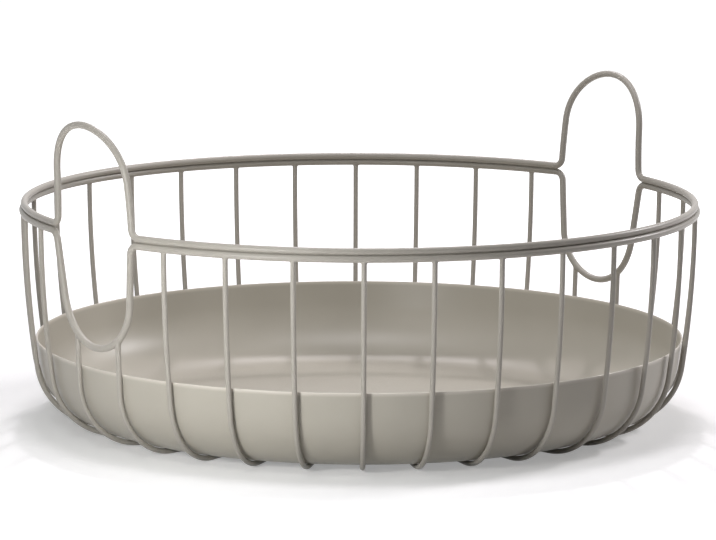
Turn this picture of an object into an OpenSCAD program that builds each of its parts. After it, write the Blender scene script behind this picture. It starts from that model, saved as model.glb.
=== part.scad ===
// Round wire basket with a pressed sheet tray, two looped handles and a double wire rim.
// It stands on the plane Z = 0, centred on the Z axis, with a handle at each end of the X axis.

/* [Rim] */
// Outside diameter of the rim
basket_d = 400; // [340:1:480]
// Height of the seam between the two rim wires
rim_h = 128; // [100:1:170]
// Diameter of the two rim wires
rim_wire_d = 4; // [3:0.1:6]
// How far inside the lower rim wire the upper one lies
rim_inset = 1; // [0:0.1:1.5]

/* [Handles] */
// Width of a handle loop where it leaves the rim, between wire centres
loop_w = 70; // [60:1:80]
// Height of the raised half of a loop above the seam
raised_h = 62.3; // [50:0.1:75]
// Radius of the bend at the top of the raised half
raised_r = 33; // [27:0.1:34]
// How far the top of the raised half leans out
raised_out = 5.3; // [0:0.1:12]
// Depth of the lowered half of a loop below the seam
lowered_h = 64.9; // [55:0.1:70]
// Radius of the bend at the bottom of the lowered half
lowered_r = 31.3; // [27:0.1:34]
// How far the bottom of the lowered half leans in
lowered_in = 5.4; // [0:0.1:6]
// Radius of the bends between the rim and a loop
loop_bend_r = 5.5; // [4:0.5:9]

/* [Ribs] */
// Diameter of the rib wires
rib_wire_d = 3; // [2.5:0.1:4]
// Full ribs on each side, between the handles
ribs_per_side = 14; // [10:1:16]
// Short ribs under each handle
ribs_per_handle = 2; // [1:1:2]
// Radius of the bend from the side into the foot of a rib
corner_r = 41; // [30:1:50]
// Lean of a full rib, in degrees, where that bend starts
side_lean = 8; // [4:0.5:12]
// Radius of the ring that the feet of the ribs meet
base_ring_r = 60; // [40:1:90]

/* [Tray] */
// Height of the tray, from its underside to its edge
tray_h = 47.5; // [30:0.5:60]
// Thickness of the sheet
tray_t = 1; // [0.8:0.1:1.5]
// Space between the wall of the tray and the full ribs
tray_side_gap = 1.1; // [0.9:0.1:2]

/* [Hidden] */
// Space that the weld fills between one piece and the next
seat_gap = 0.05;
// Drawn thinner by this, a straight run laps into its bend and fuses with it
fuse_step = 0.01;
fuse_lap = 0.1;
// Sides of a rim wire, and the turns and lengths between the rings of its mesh
wire_sides = 16;
ring_turn = 5;
bend_turn = 9;
loop_turn = 7.5;
// Steps of the arcs in the outline of the tray
arc_turn = 4;
edge_turn = 30;
// Sides of a circle about the Z axis, and of a smaller one
round_sides = 180;
$fn = 64;

rim_r = (basket_d - rim_wire_d) / 2;
rim_wire_r = rim_wire_d / 2;
rib_wire_r = rib_wire_d / 2;
rib_places = 2 * (ribs_per_side + ribs_per_handle);
rib_step = 360 / rib_places;

// Side profile of a full rib: an arc that leaves the rim straight down, then the corner bend
rib_top_z = rim_h - rim_wire_r;
corner_z = rib_wire_r + corner_r;
side_arc_r = (rib_top_z - corner_z + corner_r * sin(side_lean)) / sin(side_lean);
corner_x = rim_r - side_arc_r * (1 - cos(side_lean)) - corner_r * cos(side_lean);

// The tray lies on the feet of the ribs
tray_z = rib_wire_d + seat_gap;
tray_edge_z = tray_z + tray_h - tray_t / 2;

colour = [0.66, 0.64, 0.6];

// Angle that a length takes up on a circle
function turn_of(length, r) = length / r * 180 / PI;

function two_digits(i) = str(i < 10 ? "0" : "", i);

// Angle of a full rib: one side of the basket is filled first, then the other
function full_rib_angle(i) =
    let (side = floor((i - 1) / ribs_per_side), place = i - 1 - side * ribs_per_side)
    side * 180 + (place + ribs_per_handle / 2 + 0.5) * rib_step;

// The handle that a short rib is under, as an angle, and how far the rib is from the handle's middle
function handle_angle(i) = floor((i - 1) / ribs_per_handle) * 180;
function from_middle(i) = ((i - 1) % ribs_per_handle - (ribs_per_handle - 1) / 2) * rib_step;

// A handle loop, drawn flat: u runs along the rim from the middle of the handle, v away from the rim.
// The legs lean towards each other and touch the end bend, whose radius is r.
function leg_lean(h, r) =
    let (reach = norm([loop_w / 2, h - r]))
    acos(r / reach) - atan2(h - r, loop_w / 2);

// Length of the leg's tangent, and of the rim's, up to the bend between them
function bend_tangent(lean) = loop_bend_r * tan((90 - lean) / 2);

// Half of the loop, from the rim to the middle of the end bend, as [u, v] points
function half_loop(h, r) =
    let (
        lean = leg_lean(h, r),
        bend_u = loop_w / 2 + bend_tangent(lean),
        bend_steps = ceil((90 - lean) / bend_turn),
        end_steps = ceil((90 - lean) / loop_turn),
        bend = [for (i = [0:bend_steps])
            let (a = (90 - lean) * i / bend_steps)
            [bend_u - loop_bend_r * sin(a), loop_bend_r * (1 - cos(a))]],
        end = [for (i = [0:end_steps])
            let (a = lean + (90 - lean) * i / end_steps)
            [r * cos(a), h - r + r * sin(a)]]
    )
    concat(bend, end);

// The whole loop, from one side of the handle to the other
function whole_loop(h, r) =
    let (half = half_loop(h, r), last = len(half) - 1)
    concat([for (p = half) [-p[0], p[1]]], [for (i = [last - 1:-1:0]) half[i]]);

// The stretch of plain rim between one handle and the next, as u positions beyond the first handle
function rim_stretch(h, r) =
    let (
        start = loop_w / 2 + bend_tangent(leg_lean(h, r)),
        half_turn = PI * rim_r,
        steps = ceil((180 - 2 * turn_of(start, rim_r)) / ring_turn)
    )
    [for (i = [1:steps - 1]) [start + (half_turn - 2 * start) * i / steps, 0]];

// A flat point of the loop bent round the rim: dir is 1 for up and -1 for down, inset the step in from
// the rim's own radius, and out the lean at height h
function on_rim(p, turn, dir, h, inset, out, power) =
    let (
        angle = turn + turn_of(p[0], rim_r),
        r = rim_r - inset + out * pow(max(p[1], 0) / h, power)
    )
    [r * cos(angle), r * sin(angle), rim_h + dir * (rim_wire_r + p[1])];

// Centre line of a rim wire, as a closed list of points
function rim_path(dir, h, r, inset, out, power) =
    let (flat = concat(whole_loop(h, r), rim_stretch(h, r)))
    [for (turn = [0, 180]) for (p = flat) on_rim(p, turn, dir, h, inset, out, power)];

// A round wire along a closed path that goes round the Z axis. Each ring of the mesh is laid out
// from the radial direction, so the wire doesn't twist, and its flats face up, down, in and out.
module closed_wire(path, wire_r) {
    count = len(path);
    points = [for (i = [0:count - 1])
        let (
            before = path[(i + count - 1) % count],
            after = path[(i + 1) % count],
            along = (after - before) / norm(after - before),
            flat_out = [path[i][0], path[i][1], 0] / norm([path[i][0], path[i][1]]),
            side = cross(along, flat_out) / norm(cross(along, flat_out)),
            out = cross(side, along)
        )
        for (k = [0:wire_sides - 1])
            let (a = 360 * (k + 0.5) / wire_sides)
            path[i] + wire_r * (cos(a) * out + sin(a) * side)];
    faces = [for (i = [0:count - 1], k = [0:wire_sides - 1], half = [0, 1])
        let (
            next = (i + 1) % count,
            over = (k + 1) % wire_sides,
            a = i * wire_sides + k,
            b = i * wire_sides + over,
            c = next * wire_sides + over,
            d = next * wire_sides + k
        )
        half == 0 ? [c, b, a] : [d, c, a]];
    polyhedron(points, faces, convexity = 6);
}

module upper_rim_wire() {
    path = rim_path(1, raised_h - rim_wire_r, raised_r, rim_inset, raised_out, 2);
    color(colour)
        closed_wire(path, rim_wire_r);
}

module lower_rim_wire() {
    path = rim_path(-1, lowered_h - rim_wire_r, lowered_r, 0, -lowered_in, 1);
    color(colour)
        closed_wire(path, rim_wire_r);
}

// A piece of rib wire bent about the origin in the XZ plane, from one angle below the X axis to another
module bent_wire(r, from, to, d) {
    rotate([90, 0, 0])
        rotate([0, 0, -to])
            rotate_extrude(angle = to - from)
                translate([r, 0])
                    circle(d = d);
}

// Corner bend and foot of a rib, in the XZ plane, with the bend starting at the given lean
module rib_foot(lean) {
    foot_l = corner_x - base_ring_r;
    translate([corner_x, 0, corner_z]) {
        bent_wire(corner_r, lean, 90, rib_wire_d);
        translate([-foot_l, 0, -corner_r])
            rotate([0, 90, 0])
                cylinder(d = rib_wire_d - fuse_step, h = foot_l + fuse_lap);
    }
}

// The ring that shapes the end of a rib to the wire it is welded to
module ring_cut(ring_r, z, wire_r) {
    translate([0, 0, z])
        rotate_extrude($fn = round_sides)
            translate([ring_r, 0])
                circle(r = wire_r + seat_gap);
}

module full_rib(angle) {
    lap = turn_of(fuse_lap, side_arc_r);
    color(colour)
        rotate([0, 0, angle])
            difference() {
                union() {
                    rib_foot(side_lean);
                    translate([corner_x, 0, corner_z])
                        rotate([0, side_lean, 0])
                            translate([corner_r - side_arc_r, 0, 0])
                                bent_wire(side_arc_r, -side_lean, lap, rib_wire_d - fuse_step);
                }
                ring_cut(rim_r, rim_h - rim_wire_r, rim_wire_r);
                ring_cut(base_ring_r, rib_wire_r, rib_wire_r);
            }
}

// A short rib is straight from its corner bend to the loop above it
module short_rib(handle, offset) {
    loop_h = lowered_h - rim_wire_r;
    end_centre_v = loop_h - lowered_r;
    u = offset / turn_of(1, rim_r);
    v = end_centre_v + sqrt(lowered_r * lowered_r - u * u);
    slope = asin(u / lowered_r);
    top_x = rim_r - lowered_in * v / loop_h;
    top_z = rim_h - rim_wire_r - v;
    reach = norm([top_x - corner_x, top_z - corner_z]);
    lean = acos(corner_r / reach) - atan2(top_z - corner_z, top_x - corner_x);
    straight_l = sqrt(reach * reach - corner_r * corner_r);
    notch_l = 4 * rim_wire_d;
    color(colour)
        rotate([0, 0, handle + offset])
            difference() {
                union() {
                    rib_foot(lean);
                    translate([corner_x, 0, corner_z])
                        rotate([0, lean, 0])
                            translate([corner_r, 0, -fuse_lap])
                                cylinder(d = rib_wire_d - fuse_step, h = straight_l + fuse_lap);
                }
                translate([top_x, 0, top_z])
                    rotate([slope - 90, 0, 0])
                        cylinder(r = rim_wire_r + seat_gap, h = notch_l, center = true);
                ring_cut(base_ring_r, rib_wire_r, rib_wire_r);
            }
}

// Outline of the tray's side, as points from the flat of the floor up to the edge,
// at a distance from the centre line of the ribs
function tray_line(gap) =
    let (
        centre_x = corner_x - tray_side_gap,
        bend_r = corner_r - gap,
        arc_r = side_arc_r - gap,
        arc_x = centre_x - (side_arc_r - corner_r) * cos(side_lean),
        arc_z = corner_z + (side_arc_r - corner_r) * sin(side_lean),
        edge_lean = asin((arc_z - tray_edge_z) / arc_r),
        bend_steps = ceil((90 - side_lean) / arc_turn),
        bend = [for (i = [0:bend_steps])
            let (a = 90 + (side_lean - 90) * i / bend_steps)
            [centre_x + bend_r * cos(a), corner_z - bend_r * sin(a)]]
    )
    concat(bend, [[arc_x + arc_r * cos(edge_lean), tray_edge_z]]);

module tray() {
    outside = tray_line(rib_wire_r + seat_gap);
    inside = tray_line(rib_wire_r + seat_gap + tray_t);
    out_end = outside[len(outside) - 1];
    in_end = inside[len(inside) - 1];
    edge = [for (a = [edge_turn:edge_turn:180 - edge_turn])
        (out_end + in_end) / 2 + (out_end - in_end) / 2 * cos(a) + [0, tray_t / 2 * sin(a)]];
    color(colour)
        rotate_extrude($fn = round_sides)
            polygon(concat(
                [[0, tray_z]],
                outside,
                edge,
                [for (i = [len(inside) - 1:-1:0]) inside[i]],
                [[0, tray_z + tray_t]]
            ));
}

module base_ring() {
    color(colour)
        translate([0, 0, rib_wire_r])
            rotate_extrude($fn = round_sides)
                translate([base_ring_r, 0])
                    circle(d = rib_wire_d);
}

upper_rim_wire();
lower_rim_wire();
for (i = [1:2 * ribs_per_side])
    full_rib(full_rib_angle(i));
for (i = [1:2 * ribs_per_handle])
    short_rib(handle_angle(i), from_middle(i));
tray();
base_ring();
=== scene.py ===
"""Finished surfaces of a round wire basket with a pressed tray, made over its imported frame.

Lengths are in metres. The basket stands on Z = 0 about the Z axis, with a handle at each end of
the X axis. Each wire is a round section carried along its centre line, and the tray is a profile
turned about the Z axis.
"""

import math

import bpy
import numpy as np
from mathutils import Matrix, Vector


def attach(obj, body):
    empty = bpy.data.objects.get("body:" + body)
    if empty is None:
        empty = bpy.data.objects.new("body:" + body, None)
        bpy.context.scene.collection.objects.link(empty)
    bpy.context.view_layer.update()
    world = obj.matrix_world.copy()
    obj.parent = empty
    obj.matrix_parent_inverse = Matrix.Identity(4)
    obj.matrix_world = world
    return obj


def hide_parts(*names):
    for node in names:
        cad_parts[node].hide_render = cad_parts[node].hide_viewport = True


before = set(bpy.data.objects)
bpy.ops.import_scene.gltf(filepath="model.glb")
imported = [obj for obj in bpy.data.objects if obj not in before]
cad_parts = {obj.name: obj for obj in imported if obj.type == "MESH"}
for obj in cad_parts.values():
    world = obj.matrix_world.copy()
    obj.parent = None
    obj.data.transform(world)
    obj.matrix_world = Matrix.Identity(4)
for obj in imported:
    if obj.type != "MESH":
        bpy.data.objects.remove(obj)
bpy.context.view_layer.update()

MM = 0.001

# Rim and handle loops, as in the part's own source. The powers say how a loop's lean grows with
# its height.
RIM_R = 198 * MM
RIM_H = 128 * MM
RIM_WIRE_R = 2 * MM
RIM_INSET = 1 * MM
LOOP_W = 70 * MM
LOOP_BEND_R = 5.5 * MM
RAISED_H = 62.3 * MM - RIM_WIRE_R
RAISED_R = 33 * MM
RAISED_OUT = 5.3 * MM
RAISED_POWER = 2
LOWERED_H = 64.9 * MM - RIM_WIRE_R
LOWERED_R = 31.3 * MM
LOWERED_IN = 5.4 * MM
LOWERED_POWER = 1

# Ribs and the ring that their feet meet
RIB_WIRE_R = 1.5 * MM
RIBS_PER_SIDE = 14
RIBS_PER_HANDLE = 2
CORNER_R = 41 * MM
SIDE_LEAN = math.radians(8)
BASE_RING_R = 60 * MM

# Tray
TRAY_H = 47.5 * MM
TRAY_T = 1 * MM
TRAY_SIDE_GAP = 1.1 * MM
SEAT_GAP = 0.05 * MM

# Worked out from these: half the way round the rim, the angle from rib to rib, the centre line of
# the lower rim wire, the middle of a rib's corner bend, the radius of the arc that leaves the rim
# straight down and touches that bend, and the middle of the tray's rounded edge
HALF_RIM = math.pi * RIM_R
RIB_STEP = math.pi / (RIBS_PER_SIDE + RIBS_PER_HANDLE)
RIB_TOP_Z = RIM_H - RIM_WIRE_R
CORNER_Z = RIB_WIRE_R + CORNER_R
SIDE_ARC_R = (RIB_TOP_Z - CORNER_Z + CORNER_R * math.sin(SIDE_LEAN)) / math.sin(SIDE_LEAN)
CORNER_X = RIM_R - SIDE_ARC_R * (1 - math.cos(SIDE_LEAN)) - CORNER_R * math.cos(SIDE_LEAN)
TRAY_EDGE_Z = 2 * RIB_WIRE_R + SEAT_GAP + TRAY_H - TRAY_T / 2

# Camera, placed from the rim: where it stands, and how it is turned
PHOTO_W = 716
FOCAL_PX = 4224.8
CAMERA_AZIMUTH = math.radians(-40.11)
CAMERA_DISTANCE = 2.4629
CAMERA_ABOVE_RIM = 0.3565
CAMERA_PITCH = math.radians(9.14)
CAMERA_PAN = math.radians(-0.02)
CAMERA_ROLL = math.radians(0.186)

# Directions of the studio, as the camera sees them
UP = Vector((0, 0, 1))
AHEAD = Vector((-math.sin(CAMERA_AZIMUTH), math.cos(CAMERA_AZIMUTH), 0))
TO_RIGHT = AHEAD.cross(UP)


def in_studio(right, ahead, up):
    """The point so far to the right of the basket's axis, beyond it and above the table, as the
    camera sees them."""
    return TO_RIGHT * right + AHEAD * ahead + UP * up


def make_camera():
    """The camera of the photograph: a long lens a little above the rim, pitched down at the
    basket. The view is the level direction turned down by the pitch, and the roll turns right and
    up about it."""
    data = bpy.data.cameras.new("camera")
    data.lens = FOCAL_PX / PHOTO_W * data.sensor_width
    camera = bpy.data.objects.new("camera", data)
    bpy.context.scene.collection.objects.link(camera)
    level = AHEAD * math.cos(CAMERA_PAN) + TO_RIGHT * math.sin(CAMERA_PAN)
    view = level * math.cos(CAMERA_PITCH) - UP * math.sin(CAMERA_PITCH)
    right = level.cross(UP)
    up = right.cross(view)
    tilted_right = right * math.cos(CAMERA_ROLL) + up * math.sin(CAMERA_ROLL)
    tilted_up = up * math.cos(CAMERA_ROLL) - right * math.sin(CAMERA_ROLL)
    turn = Matrix((tilted_right, tilted_up, -view)).transposed()
    place = in_studio(0, -CAMERA_DISTANCE, RIM_H + CAMERA_ABOVE_RIM)
    camera.matrix_world = Matrix.Translation(place) @ turn.to_4x4()
    bpy.context.scene.camera = camera


make_camera()


# Meshes

def round_angles(steps):
    """Angles all the way round, evenly spaced from nought."""
    return np.linspace(0, 2 * math.pi, steps, endpoint=False)


def about_axis(radius, angle, z):
    """Points given by their distance from the Z axis, their angle about it and their height."""
    x, y = radius * np.cos(angle), radius * np.sin(angle)
    return np.stack(np.broadcast_arrays(x, y, z), -1)


def turned(grid, angle):
    """The points, turned about the Z axis."""
    c, s = math.cos(angle), math.sin(angle)
    x, y, z = grid[..., 0], grid[..., 1], grid[..., 2]
    return np.stack([c * x - s * y, s * x + c * y, z], -1)


def unit(vectors):
    """The vectors, each divided by its own length."""
    return vectors / np.linalg.norm(vectors, axis=-1, keepdims=True)


def enclosed(points, triangles):
    """Six times the volume inside triangles abc, which is the sum of a . (b x c). It is negative
    where they face inwards."""
    a, b, c = (points[triangles[:, corner]] for corner in range(3))
    return np.einsum("ij,ij->", a, np.cross(b, c))


def grid_faces(rows, cols, closed):
    """Quads between the points of a grid, whose last column meets its first, and whose last row
    meets its first where it is closed."""
    i = np.arange(rows if closed else rows - 1)[:, None]
    j = np.arange(cols)[None, :]
    below, beside = (i + 1) % rows, (j + 1) % cols
    corners = (i * cols + j, i * cols + beside, below * cols + beside, below * cols + j)
    return np.stack(np.broadcast_arrays(*corners), -1).reshape(-1, 4)


def fan_faces(row, cols, pole):
    """Triangles between one row of a grid and a single point."""
    j = np.arange(cols)
    return np.stack([row * cols + j, row * cols + (j + 1) % cols, np.full(cols, pole)], -1)


def make_piece(name, grid, closed, material, replaces=None):
    """A closed smooth piece from a grid of points whose rows are rings. Unless the last ring meets
    the first, each end is filled by triangles to the middle of its ring. Faces that would point
    inwards are turned round."""
    rows, cols = grid.shape[:2]
    points = grid.reshape(-1, 3)
    quads = grid_faces(rows, cols, closed)
    triangles = np.empty((0, 3), int)
    if not closed:
        points = np.concatenate([points, [grid[0].mean(0), grid[-1].mean(0)]])
        first_pole = rows * cols
        first = fan_faces(0, cols, first_pole)[:, ::-1]
        last = fan_faces(rows - 1, cols, first_pole + 1)
        triangles = np.concatenate([first, last])
    if enclosed(points, np.concatenate([quads[:, :3], quads[:, [0, 2, 3]], triangles])) < 0:
        quads = quads[:, ::-1]
        triangles = triangles[:, ::-1]
    mesh = bpy.data.meshes.new(name)
    mesh.from_pydata(points.tolist(), [], quads.tolist() + triangles.tolist())
    mesh.shade_smooth()
    mesh.materials.append(material)
    piece = bpy.data.objects.new(name, mesh)
    bpy.context.scene.collection.objects.link(piece)
    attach(piece, "root")
    if replaces:
        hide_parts(replaces)
    return piece


def sweep(centre, out, side, radius, sides):
    """A round section carried along a wire: centre + radius (cos t out + sin t side), with t all
    the way round."""
    t = round_angles(sides)
    ring = np.cos(t)[:, None] * out[:, None] + np.sin(t)[:, None] * side[:, None]
    return centre[:, None] + radius * ring


def closed_wire(centre, radius, sides):
    """A wire that goes round the Z axis. Its section is laid out from the direction away from the
    axis, so it doesn't twist."""
    along = unit(np.roll(centre, -1, 0) - np.roll(centre, 1, 0))
    side = unit(np.cross(along, unit(centre * [1, 1, 0])))
    return sweep(centre, np.cross(side, along), side, radius, sides)


# Rim wires

# How finely a wire is divided round its section, and along the bend, leg and end of a loop and the
# plain rim between two loops
RIM_SIDES = 32
BEND_STEPS = 28
LEG_STEPS = 14
END_STEPS = 30
STRETCH_STEPS = 150

# Coat in the seam: how wide it is, how far it sinks into the wires, and the length over which it
# narrows past the start of a handle's bend
SEAM_WIDE = 0.6 * MM
SEAM_SINK = 0.03 * MM
SEAM_RUN = 1.6 * MM
SEAM_SIDES = 7
SEAM_STEPS = 220


def leg_lean(height, end_r):
    """Angle by which a loop's leg leans in to touch the end bend: it is the tangent from the leg's
    foot, half the loop's width from the middle, to a circle of radius end_r at the loop's end."""
    rise = height - end_r
    return math.acos(end_r / math.hypot(LOOP_W / 2, rise)) - math.atan2(rise, LOOP_W / 2)


def bend_start(height, end_r):
    """Distance along the rim from a loop's middle to where its bend leaves the rim: half the
    loop's width and the bend's radius times the tangent of half the angle that it turns by."""
    return LOOP_W / 2 + LOOP_BEND_R * math.tan((math.pi / 2 - leg_lean(height, end_r)) / 2)


def half_loop(height, end_r):
    """Half a loop drawn flat, as (u, v): u along the rim and v away from it. It is a bend off the
    rim, a straight leg and half of the round end, each touching the next."""
    lean = leg_lean(height, end_r)
    a = np.linspace(0, math.pi / 2 - lean, BEND_STEPS)
    bend_u = bend_start(height, end_r) - LOOP_BEND_R * np.sin(a)
    bend = np.stack([bend_u, LOOP_BEND_R * (1 - np.cos(a))], -1)
    b = np.linspace(lean, math.pi / 2, END_STEPS)
    end = np.stack([end_r * np.cos(b), height - end_r + end_r * np.sin(b)], -1)
    share = np.linspace(0, 1, LEG_STEPS)[1:-1, None]
    return np.concatenate([bend, bend[-1] + share * (end[0] - bend[-1]), end])


def rim_centre(direction, height, end_r, inset, out, power):
    """Centre line of a rim wire: the flat outline of loop, plain rim, loop and plain rim, bent
    round the Z axis. Each point is moved out by out times its share of the loop's height to a
    power."""
    half = half_loop(height, end_r)
    loop = np.concatenate([half * [-1, 1], half[-2::-1]])
    u = np.linspace(half[0, 0], HALF_RIM - half[0, 0], STRETCH_STEPS)[1:-1]
    flat = np.concatenate([loop, np.stack([u, np.zeros_like(u)], -1)])
    flat = np.concatenate([flat, flat + [HALF_RIM, 0]])
    u, v = flat[:, 0], flat[:, 1]
    radius = RIM_R - inset + out * (np.maximum(v, 0) / height) ** power
    return about_axis(radius, u / RIM_R, RIM_H + direction * (RIM_WIRE_R + v))


def rim_wires(material):
    """The upper wire rises into the upper half of both handles and lies just inside the lower one,
    which dips into their lower half and carries the ribs."""
    upper = rim_centre(1, RAISED_H, RAISED_R, RIM_INSET, RAISED_OUT, RAISED_POWER)
    lower = rim_centre(-1, LOWERED_H, LOWERED_R, 0, -LOWERED_IN, LOWERED_POWER)
    for name, centre in ("upper_rim", upper), ("lower_rim", lower):
        grid = closed_wire(centre, RIM_WIRE_R, RIM_SIDES)
        make_piece(name + "_coated", grid, True, material, name + "_wire")


def seam_coat(material):
    """Powder coat that has run into the seam between the rim wires, on each side from handle to
    handle. At each t across the seam it is as thick as the gap between the two round wires there,
    D - 2 sqrt(r^2 - t^2), and sunk a little into both. D, the distance between the wires' centres,
    grows where they part into the handles, and there the coat narrows as the root of what is left.
    Its rings lie closest together near its ends."""
    bend_u = bend_start(LOWERED_H, LOWERED_R)
    start = bend_u - SEAM_RUN
    phase = np.linspace(0, math.pi, SEAM_STEPS)
    u = HALF_RIM / 2 - (HALF_RIM / 2 - start) * np.cos(phase)
    into_bend = np.maximum(np.maximum(bend_u - u, u - HALF_RIM + bend_u), 0)
    apart = LOOP_BEND_R - np.sqrt(LOOP_BEND_R ** 2 - into_bend ** 2)
    between = np.stack([np.full_like(u, -RIM_INSET), 2 * (RIM_WIRE_R + apart)], -1)
    distance = np.linalg.norm(between, axis=-1)
    left = np.minimum(u - u[0], u[-1] - u) + SEAM_SINK
    wide = SEAM_WIDE * np.sqrt(np.minimum(left / SEAM_RUN, 1))
    t = wide[:, None] * np.linspace(-0.5, 0.5, SEAM_SIDES)
    thick = distance[:, None] / 2 - np.sqrt(RIM_WIRE_R ** 2 - t ** 2) + SEAM_SINK
    t = np.concatenate([t, t[:, ::-1]], 1)
    thick = np.concatenate([thick, -thick[:, ::-1]], 1)
    d = between / distance[:, None]
    radius = RIM_R - RIM_INSET / 2 + t * d[:, 1:] + thick * d[:, :1]
    z = RIM_H - t * d[:, :1] + thick * d[:, 1:]
    grid = about_axis(radius, (u / RIM_R)[:, None], z)
    for number, turn in (1, 0), (2, math.pi):
        name = f"rim_seam_coat_{number}"
        make_piece(name, turned(grid, turn), False, material)


# Ribs and base ring

# How finely a rib is divided round its section, and along its side, corner bend and foot
RIB_SIDES = 24
SIDE_STEPS = 26
CORNER_STEPS = 34
FOOT_STEPS = 12
BASE_RING_STEPS = 180
Y_AXIS = np.array([0.0, 1.0, 0.0])

# How far below the centre of its rim wire a rib's plain round length starts. It is further under a
# loop, whose wire crosses the rib on a slope.
RIB_START = 2.2 * RIM_WIRE_R
SHORT_RIB_START = 3.2 * RIM_WIRE_R

# How much wider a weld is along and across the wire that it meets, and how far it sinks into it
WELD_SPREAD = 0.9 * MM
WELD_WRAP = 0.25 * MM
WELD_SINK = 0.15 * MM
WELD_STEPS = 7


def reach(points, axis, wire_point, wire_along, wire_r):
    """How far each point has to go along the axis to meet a round wire: the smaller root of the
    quadratic that sets its distance from the wire's line equal to the wire's radius."""
    away = points - wire_point
    away = away - (away @ wire_along)[..., None] * wire_along
    across = axis - (axis @ wire_along) * wire_along
    a = across @ across
    b = 2 * away @ across
    c = np.einsum("...i,...i->...", away, away) - wire_r ** 2
    return (-b - np.sqrt(np.maximum(b * b - 4 * a * c, 0))) / (2 * a)


def weld_collar(end, axis, out, side, wire_point, wire_along, wire_r):
    """Rings that carry a rib's end on to the wire that it is welded to. The section widens by a
    quarter circle, more along the wire than across it, while its rim closes on the wire. It is
    ground flush with what the basket stands on, so nothing of it goes below Z = 0."""
    turn = np.linspace(0, math.pi / 2, WELD_STEPS)
    t = round_angles(RIB_SIDES)
    grown = (1 - np.cos(turn))[:, None]
    across = (RIB_WIRE_R + WELD_WRAP * grown) * np.cos(t)
    beside = (RIB_WIRE_R + WELD_SPREAD * grown) * np.sin(t)
    ring = end + across[..., None] * out + beside[..., None] * side
    ring[..., 2] = np.maximum(ring[..., 2], 0)
    short_of = WELD_SPREAD * (1 - np.sin(turn))[:, None]
    travel = reach(ring, axis, wire_point, wire_along, wire_r) - short_of
    rings = ring + travel[..., None] * axis
    return np.concatenate([rings, rings[-1:] + WELD_SINK * axis])


def rib_line(x, z, lean):
    """A stretch of a rib in the XZ plane, as its centre line and outward normals. They lean below
    the X axis by an angle."""
    zero = np.zeros_like(x)
    centre = np.stack([x, zero, z], -1)
    normal = np.stack([np.cos(lean), zero, -np.sin(lean)], -1)
    return centre, normal


def joined(first, then):
    """Two stretches of a rib as one."""
    return [np.concatenate(pair) for pair in zip(first, then)]


def rib_foot(lean):
    """Corner bend from the given lean to the level, then the straight foot, which ends near the
    base ring."""
    a = np.linspace(lean, math.pi / 2, CORNER_STEPS)
    bend = rib_line(CORNER_X + CORNER_R * np.cos(a), CORNER_Z - CORNER_R * np.sin(a), a)
    stop = BASE_RING_R + 2 * RIB_WIRE_R + WELD_SPREAD
    x = np.linspace(CORNER_X, stop, FOOT_STEPS)[1:]
    foot = rib_line(x, np.full_like(x, RIB_WIRE_R), np.full_like(x, math.pi / 2))
    return joined(bend, foot)


def rib_surface(centre, normal, top_wire_point, top_wire_along):
    """A rib from its weld under the rim, along its centre line, to its weld on the base ring."""
    side = np.broadcast_to(Y_AXIS, normal.shape)
    tube = sweep(centre, normal, side, RIB_WIRE_R, RIB_SIDES)
    up = np.cross(normal[0], Y_AXIS)
    top = weld_collar(centre[0], up, normal[0], Y_AXIS,
                      top_wire_point, top_wire_along, RIM_WIRE_R)
    inward = np.array([-1.0, 0.0, 0.0])
    ring_point = np.array([BASE_RING_R, 0, RIB_WIRE_R])
    foot = weld_collar(centre[-1], inward, normal[-1], Y_AXIS, ring_point, Y_AXIS, RIB_WIRE_R)
    return np.concatenate([top[::-1], tube, foot])


def full_rib():
    """A full rib in the XZ plane: an arc that leaves the rim straight down, the corner bend and
    the foot."""
    a = np.linspace(RIB_START / SIDE_ARC_R, SIDE_LEAN, SIDE_STEPS)[:-1]
    x = RIM_R - SIDE_ARC_R + SIDE_ARC_R * np.cos(a)
    arc = rib_line(x, RIB_TOP_Z - SIDE_ARC_R * np.sin(a), a)
    rim_point = np.array([RIM_R, 0, RIB_TOP_Z])
    return rib_surface(*joined(arc, rib_foot(SIDE_LEAN)), rim_point, Y_AXIS)


def short_rib(offset):
    """A short rib in the XZ plane: straight from the underside of the loop down to its corner
    bend, which it touches. Offset is its angle from the handle's middle, which sets where on the
    loop's round end it starts."""
    u = offset * RIM_R
    v = LOWERED_H - LOWERED_R + math.sqrt(LOWERED_R ** 2 - u ** 2)
    slope = math.asin(u / LOWERED_R)
    top = np.array([RIM_R - LOWERED_IN * v / LOWERED_H, 0, RIB_TOP_Z - v])
    from_bend = top - [CORNER_X, 0, CORNER_Z]
    distance = math.hypot(from_bend[0], from_bend[2])
    lean = math.acos(CORNER_R / distance) - math.atan2(from_bend[2], from_bend[0])
    length = math.sqrt(distance ** 2 - CORNER_R ** 2) - SHORT_RIB_START
    away = np.linspace(length, 0, SIDE_STEPS)[:-1]
    x = CORNER_X + CORNER_R * math.cos(lean) + away * math.sin(lean)
    z = CORNER_Z - CORNER_R * math.sin(lean) + away * math.cos(lean)
    straight = rib_line(x, z, np.full_like(x, lean))
    loop_along = np.array([0.0, math.cos(slope), math.sin(slope)])
    return rib_surface(*joined(straight, rib_foot(lean)), top, loop_along)


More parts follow.
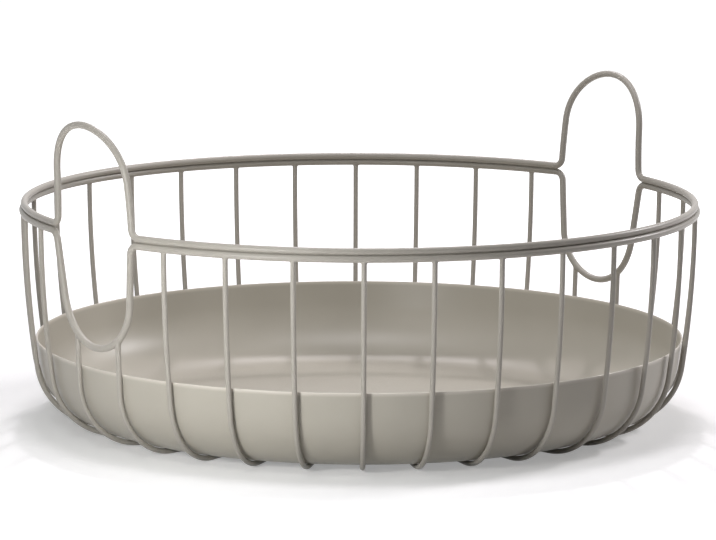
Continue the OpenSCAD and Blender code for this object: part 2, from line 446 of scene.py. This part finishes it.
def make_ribs(material):
    """All ribs, by angle: the full ones on each side, and the short ones under each handle."""
    full = full_rib()
    for i in range(2 * RIBS_PER_SIDE):
        side, place = divmod(i, RIBS_PER_SIDE)
        angle = side * math.pi + (place + RIBS_PER_HANDLE / 2 + 0.5) * RIB_STEP
        node = f"rib_{i + 1:02d}"
        make_piece(node + "_coated", turned(full, angle), False, material, node)
    for i in range(2 * RIBS_PER_HANDLE):
        handle, place = divmod(i, RIBS_PER_HANDLE)
        offset = (place - (RIBS_PER_HANDLE - 1) / 2) * RIB_STEP
        node = f"short_rib_{i + 1}"
        grid = turned(short_rib(offset), handle * math.pi + offset)
        make_piece(node + "_coated", grid, False, material, node)


def base_ring(material):
    """The ring under the tray that the feet of the ribs are welded to."""
    centre = about_axis(BASE_RING_R, round_angles(BASE_RING_STEPS), RIB_WIRE_R)
    grid = closed_wire(centre, RIB_WIRE_R, RIB_SIDES)
    make_piece("base_ring_coated", grid, True, material, "base_ring")


# Tray

# How finely the tray is divided round the axis, and along its floor, bend, side and rounded edge
TRAY_SIDES = 288
FLOOR_STEPS = 30
TRAY_BEND_STEPS = 36
TRAY_SIDE_STEPS = 8
EDGE_STEPS = 9


def tray_line(gap):
    """One face of the tray's sheet, as (radius, height) from the middle of its floor up to its
    edge. It follows the ribs' corner bend and side arc at a gap inside their centre line, all
    moved in by the clear space beside them."""
    centre_x = CORNER_X - TRAY_SIDE_GAP
    bend_r = CORNER_R - gap
    arc_r = SIDE_ARC_R - gap
    arc_x = centre_x - (SIDE_ARC_R - CORNER_R) * math.cos(SIDE_LEAN)
    arc_z = CORNER_Z + (SIDE_ARC_R - CORNER_R) * math.sin(SIDE_LEAN)
    edge_lean = math.asin((arc_z - TRAY_EDGE_Z) / arc_r)
    floor_r = np.linspace(0, centre_x, FLOOR_STEPS + 1)[1:-1]
    floor = np.stack([floor_r, np.full_like(floor_r, CORNER_Z - bend_r)], -1)
    a = np.linspace(math.pi / 2, SIDE_LEAN, TRAY_BEND_STEPS)
    bend = np.stack([centre_x + bend_r * np.cos(a), CORNER_Z - bend_r * np.sin(a)], -1)
    b = np.linspace(SIDE_LEAN, edge_lean, TRAY_SIDE_STEPS)[1:]
    side = np.stack([arc_x + arc_r * np.cos(b), arc_z - arc_r * np.sin(b)], -1)
    return np.concatenate([floor, bend, side])


def tray(material):
    """The pressed sheet: its outside and inside, joined by a round edge and turned about the Z
    axis. A point attribute, one on the edge and nought elsewhere, also at the two poles, marks
    where a painted highlight makes the coat paler."""
    outside = tray_line(RIB_WIRE_R + SEAT_GAP)
    inside = tray_line(RIB_WIRE_R + SEAT_GAP + TRAY_T)
    middle, half = (outside[-1] + inside[-1]) / 2, (outside[-1] - inside[-1]) / 2
    a = np.linspace(0, math.pi, EDGE_STEPS)[1:-1, None]
    edge = middle + half * np.cos(a) + np.array([0, TRAY_T / 2]) * np.sin(a)
    profile = np.concatenate([outside, edge, inside[::-1]])
    grid = about_axis(profile[:, :1], round_angles(TRAY_SIDES), profile[:, 1:])
    piece = make_piece("tray_coated", grid, False, material, "tray")
    row = np.arange(len(profile))
    on_edge = (row >= len(outside) - 1) & (row <= len(outside) + len(edge))
    # Mask of the painted highlight: one on the rounded edge, nought elsewhere
    painted_edge_highlight = np.concatenate([np.repeat(on_edge, TRAY_SIDES), [0, 0]]).astype(float)
    piece.data.attributes.new("painted_edge_highlight", "FLOAT", "POINT").data.foreach_set("value", painted_edge_highlight)


# Materials

WIRE_COLOUR, WIRE_DARKER = "#aea9a0", "#a6a198"
SHEET_COLOUR, SHEET_DARKER = "#b6b1a5", "#afaa9e"
# Paler coat painted along the tray's edge as a highlight
PAINTED_HIGHLIGHT_COLOUR = "#cfc9be"
COAT_ROUGHNESS = 0.36
COAT_SPECULAR = 0.3

# Patterns of the coat by their real size. The flake is really about 0.1 mm, too fine to show, and
# is drawn coarser.
DRIFT_SIZE = 70 * MM
DRIFT_DETAIL = 3
FLAKE_SIZE = 0.9 * MM
FLAKE_DETAIL = 2
FLAKE_SPREAD = 0.04
PEEL_SIZE = 1.6 * MM
PEEL_DETAIL = 1
PEEL_DEPTH = 0.05 * MM
PEEL_STRENGTH = 0.25

# The range that most of a noise lies in
NOISE_LOW = 0.3
NOISE_HIGH = 0.7

# Sockets of a Mix node for colours, by number, because other sockets share their names: the share,
# the colour at none of it, the colour at all of it, and the mixed colour
MIX_SHARE, MIX_NONE, MIX_ALL, MIX_RESULT = 0, 6, 7, 2

WHITE = (1, 1, 1, 1)


def linear(hex_colour):
    """An sRGB hex value as linear red, green, blue and one. A share up to 0.04045 is divided by
    12.92, and one above it is ((share + 0.055) / 1.055) to the power 2.4."""
    srgb = np.array([int(hex_colour[i:i + 2], 16) for i in (1, 3, 5)]) / 255
    low = srgb / 12.92
    high = ((srgb + 0.055) / 1.055) ** 2.4
    return (*np.where(srgb <= 0.04045, low, high).tolist(), 1)


def add_node(tree, kind, inputs=(), **settings):
    """A node with its settings. An input is given a value, or linked where it is another node's
    output."""
    node = tree.nodes.new(kind)
    for name, value in settings.items():
        setattr(node, name, value)
    for name, value in dict(inputs).items():
        socket = node.inputs[name]
        if isinstance(value, bpy.types.NodeSocket):
            tree.links.new(value, socket)
        else:
            socket.default_value = value
    return node


def new_material(name):
    """An empty material, its node tree and the input that takes its surface."""
    material = bpy.data.materials.new(name)
    material.use_nodes = True
    tree = material.node_tree
    tree.nodes.clear()
    return material, tree, add_node(tree, "ShaderNodeOutputMaterial").inputs["Surface"]


def satin_powder_coat(name, colour, darker):
    """Satin powder coat: plastic powder with a little metal flake, baked on the steel. It gives a
    soft low sheen, a fine orange peel and a faint drift of tone from one stretch to the next. A
    paler line is painted as a highlight along an edge that a point attribute of the mesh marks."""
    material, tree, surface = new_material(name)
    place = add_node(tree, "ShaderNodeTexCoord").outputs["Object"]
    drift = add_node(tree, "ShaderNodeTexNoise", {
        "Vector": place, "Scale": 1 / DRIFT_SIZE, "Detail": DRIFT_DETAIL})
    drift_share = add_node(tree, "ShaderNodeMapRange", {
        "Value": drift.outputs["Fac"], "From Min": NOISE_LOW, "From Max": NOISE_HIGH})
    tone = add_node(tree, "ShaderNodeMix", {
        MIX_SHARE: drift_share.outputs["Result"],
        MIX_NONE: linear(darker), MIX_ALL: linear(colour)}, data_type="RGBA")
    # Painted highlight: the coat turns paler where the edge mask is one
    painted_edge_highlight = add_node(tree, "ShaderNodeAttribute", attribute_name="painted_edge_highlight")
    coat = add_node(tree, "ShaderNodeMix", {
        MIX_SHARE: painted_edge_highlight.outputs["Fac"],
        MIX_NONE: tone.outputs[MIX_RESULT], MIX_ALL: linear(PAINTED_HIGHLIGHT_COLOUR)}, data_type="RGBA")
    flake = add_node(tree, "ShaderNodeTexNoise", {
        "Vector": place, "Scale": 1 / FLAKE_SIZE, "Detail": FLAKE_DETAIL})
    sheen = add_node(tree, "ShaderNodeMapRange", {
        "Value": flake.outputs["Fac"], "From Min": NOISE_LOW, "From Max": NOISE_HIGH,
        "To Min": COAT_ROUGHNESS - FLAKE_SPREAD, "To Max": COAT_ROUGHNESS + FLAKE_SPREAD})
    peel = add_node(tree, "ShaderNodeTexNoise", {
        "Vector": place, "Scale": 1 / PEEL_SIZE, "Detail": PEEL_DETAIL})
    bump = add_node(tree, "ShaderNodeBump", {
        "Height": peel.outputs["Fac"], "Strength": PEEL_STRENGTH, "Distance": PEEL_DEPTH})
    shader = add_node(tree, "ShaderNodeBsdfPrincipled", {
        "Base Color": coat.outputs[MIX_RESULT], "Roughness": sheen.outputs["Result"],
        "Specular IOR Level": COAT_SPECULAR, "Normal": bump.outputs["Normal"]})
    tree.links.new(shader.outputs["BSDF"], surface)
    return material


# Studio

# The table top is square. To the eye it glows by NEAR_GLOW as far as GLOW_NEAR from the basket's
# axis, and by one from GLOW_FAR on.
TABLE_HALF = 12
TABLE_COLOUR = "#e7e7e7"
NEAR_GLOW = 0.3
GLOW_NEAR = 250 * MM
GLOW_FAR = 900 * MM

# The share of the white room's brightness that lights the basket
ROOM_LIGHT = 0.01

# Softboxes by name: degrees to the right of the camera, seen from the basket, degrees above the
# table, distance from the basket, width, watts and colour
SOFTBOXES = {
    "top_softbox": (0, 88, 0.9, 0.4, 3.7, "#fffcff"),
    "low_front_softbox": (-26, 8, 0.5, 0.07, 0.76, "#feffff"),
    "front_left_softbox": (-30, 42, 0.8, 0.12, 0.55, "#fdffff"),
    "top_left_softbox": (-80, 62, 0.85, 0.3, 0.45, "#fdffff"),
    "right_softbox": (117, 31, 2.0, 0.4, 19, "#fffcff"),
    "back_softbox": (180, 50.5, 1.2, 0.09, 4.1, "#fff9ff"),
}


def background_share(tree):
    """One for what the camera sees straight, in a gloss or through glass, and nought for light on
    a surface."""
    path = add_node(tree, "ShaderNodeLightPath")
    seen = path.outputs["Is Camera Ray"]
    for kind in "Is Glossy Ray", "Is Transmission Ray":
        either = {0: seen, 1: path.outputs[kind]}
        seen = add_node(tree, "ShaderNodeMath", either, operation="MAXIMUM").outputs["Value"]
    return seen


def make_world():
    """A white room to the eye, which lights the basket only as a dim one would."""
    world = bpy.data.worlds.new("room")
    world.use_nodes = True
    bpy.context.scene.world = world
    tree = world.node_tree
    tree.nodes.clear()
    output = add_node(tree, "ShaderNodeOutputWorld")
    strength = add_node(tree, "ShaderNodeMapRange", {
        "Value": background_share(tree), "To Min": ROOM_LIGHT, "To Max": 1.0})
    light = add_node(tree, "ShaderNodeBackground", {
        "Color": WHITE, "Strength": strength.outputs["Result"]})
    tree.links.new(light.outputs["Background"], output.inputs["Surface"])


def matt_white_table():
    """A matt white table top. To the eye it glows as well, more with distance, so that it fades
    into the white room. The basket is lit by its matt white alone and leaves its shadow on it."""
    material, tree, surface = new_material("matt_white_table")
    matt = add_node(tree, "ShaderNodeBsdfDiffuse", {"Color": linear(TABLE_COLOUR)})
    place = add_node(tree, "ShaderNodeTexCoord").outputs["Object"]
    distance = add_node(tree, "ShaderNodeVectorMath", {0: place}, operation="LENGTH")
    glow = add_node(tree, "ShaderNodeMapRange", {
        "Value": distance.outputs["Value"], "From Min": GLOW_NEAR, "From Max": GLOW_FAR,
        "To Min": NEAR_GLOW, "To Max": 1.0})
    strength = add_node(tree, "ShaderNodeMath", {
        0: background_share(tree), 1: glow.outputs["Result"]}, operation="MULTIPLY")
    light = add_node(tree, "ShaderNodeEmission", {
        "Color": WHITE, "Strength": strength.outputs["Value"]})
    shader = add_node(tree, "ShaderNodeAddShader", {
        0: matt.outputs["BSDF"], 1: light.outputs["Emission"]})
    tree.links.new(shader.outputs["Shader"], surface)
    return material


def make_table():
    """A wide square of table top under the basket."""
    signs = (-1, -1), (1, -1), (1, 1), (-1, 1)
    corners = [(x * TABLE_HALF, y * TABLE_HALF, 0) for x, y in signs]
    mesh = bpy.data.meshes.new("table")
    mesh.from_pydata(corners, [], [(0, 1, 2, 3)])
    mesh.materials.append(matt_white_table())
    table = bpy.data.objects.new("table", mesh)
    bpy.context.scene.collection.objects.link(table)


def softbox(name, azimuth, elevation, distance, width, power, colour):
    """A square lamp that faces the middle of the basket's height and isn't seen itself."""
    data = bpy.data.lights.new(name, "AREA")
    data.shape = "SQUARE"
    data.size = width
    data.energy = power
    data.color = linear(colour)[:3]
    lamp = bpy.data.objects.new(name, data)
    lamp.visible_camera = False
    bpy.context.scene.collection.objects.link(lamp)
    a, b = math.radians(azimuth), math.radians(elevation)
    level, rise = distance * math.cos(b), distance * math.sin(b)
    lamp.location = in_studio(level * math.sin(a), -level * math.cos(a), RIM_H / 2 + rise)
    aim = in_studio(0, 0, RIM_H / 2)
    lamp.rotation_euler = (aim - lamp.location).to_track_quat("-Z", "Y").to_euler()


def light_studio():
    """A wide softbox above, a small low one in front on the left with one higher up beside it, one
    high on the left, a wide one on the right, and a small one behind that throws the wall's shadow
    on the tray. As in the photograph, the light is a little pink from above, behind and the right,
    and a little green from the left."""
    for name, settings in SOFTBOXES.items():
        softbox(name, *settings)


wire_coat = satin_powder_coat("powder_coated_wire", WIRE_COLOUR, WIRE_DARKER)
sheet_coat = satin_powder_coat("powder_coated_sheet", SHEET_COLOUR, SHEET_DARKER)
rim_wires(wire_coat)
seam_coat(wire_coat)
make_ribs(wire_coat)
base_ring(wire_coat)
tray(sheet_coat)
make_table()
make_world()
light_studio()
bpy.context.scene.view_settings.view_transform = "Standard"
